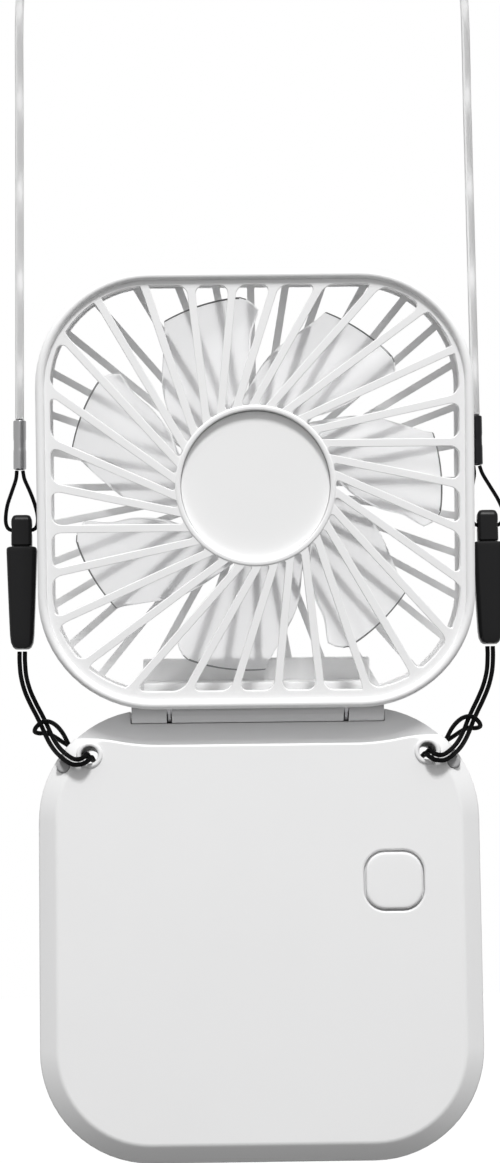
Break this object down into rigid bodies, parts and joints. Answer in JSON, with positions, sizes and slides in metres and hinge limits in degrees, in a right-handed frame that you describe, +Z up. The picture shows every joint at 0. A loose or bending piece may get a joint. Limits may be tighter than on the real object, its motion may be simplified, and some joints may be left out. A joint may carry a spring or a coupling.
{
  "type": "neck fan",
  "caption": "Folding personal fan on a neck lanyard: a square fan head with round corners, hinged to a flat rechargeable base with a power button.",
  "frame": {"origin": "underside of the neck cord at the top of its arch, where it lies on the wearer's neck", "axes": "+Z up; the fan's front faces -Y; +X to the right seen from the front. The base hangs plumb below the cord and the head leans 10 degrees forward"},
  "size_m": [0.1164, 0.0364, 0.3144],
  "materials": {
    "white_plastic": "satin white moulding",
    "disc_plastic": "smooth matt",
    "blade_plastic": "smooth, slightly translucent",
    "grey_rubber": "matt",
    "black_plastic": "satin",
    "black_string": "waxed cord",
    "white_cord": "woven cord",
    "steel": "plain",
    "dark_steel": "coated laminations",
    "magnet": "bare ferrite",
    "copper_wire": "enamelled copper",
    "brass": "plain",
    "circuit_board": "solder mask",
    "battery_wrap": "laminated foil pouch",
    "foam": "open foam",
    "wire_sleeve": "flexible sleeve"
  },
  "bodies": {
    "base": {"hinge_barrel": "white_plastic", "friction_washer_left": "dark_steel", "friction_washer_right": "dark_steel", "hinge_screw_left": "steel", "hinge_screw_right": "steel", "base_front_cover": "white_plastic", "base_rear_cover": "white_plastic", "case_screw_upper_left": "steel", "case_screw_lower_left": "steel", "case_screw_upper_right": "steel", "case_screw_lower_right": "steel", "bumper_left": "grey_rubber", "bumper_right": "grey_rubber", "tact_switch": "black_plastic", "control_board": "circuit_board", "control_screw_upper": "steel", "control_screw_lower": "steel", "charging_screw_left": "steel", "charging_screw_right": "steel", "battery_cell": "battery_wrap", "battery_pad": "foam", "charging_board": "circuit_board", "usb_socket": "steel", "usb_tongue": "black_plastic", "battery_lead_positive": "wire_sleeve", "battery_lead_negative": "black_plastic", "fan_lead": "wire_sleeve", "charging_lead": "wire_sleeve", "neck_cord": "white_cord", "ferrule_left": "steel", "ferrule_right": "black_plastic", "string_loop_left": "black_string", "string_loop_right": "black_string", "clip_plug_left": "black_plastic", "clip_plug_right": "black_plastic", "clip_socket_left": "black_plastic", "clip_socket_right": "black_plastic", "hitch_cord_left": "black_string", "hitch_cord_right": "black_string"},
    "head": {"front_grille": "white_plastic", "hub_cap": "disc_plastic", "rear_shell": "white_plastic", "head_screw_left": "steel", "head_screw_right": "steel", "stator_core": "dark_steel", "stator_windings": "copper_wire", "bearing_tube": "brass", "bearing_front": "brass", "bearing_rear": "brass", "motor_board": "circuit_board", "motor_lead": "white_plastic", "hinge_pin": "steel"},
    "rotor": {"impeller": "blade_plastic", "rotor_can": "steel", "rotor_magnet": "magnet", "motor_shaft": "steel"},
    "button": {"power_button": "white_plastic"},
    "plunger": {"switch_plunger": "grey_rubber"}
  },
  "joints": [
    {"name": "fold_hinge", "type": "hinge", "parent": "base", "child": "head", "pos_m": [0, -0.0049, -0.21], "axis": [1, 0, 0], "range_deg": [-10, 80]},
    {"name": "impeller_spin", "type": "hinge", "parent": "head", "child": "rotor", "pos_m": [0, -0.02043, -0.1611], "axis": [0, 0.9848, 0.1736], "continuous": true},
    {"name": "power_button_press", "type": "slide", "parent": "base", "child": "button", "axis": [0, 1, 0], "range_m": [0, 0.0004], "stiffness_N_per_m": 1500, "springref_m": -0.0004},
    {"name": "switch_plunger_press", "type": "slide", "parent": "base", "child": "plunger", "axis": [0, 1, 0], "range_m": [0, 0.0004]}
  ],
  "couplings": [
    {"joint": "switch_plunger_press", "follows": "power_button_press", "ratio": 1}
  ]
}
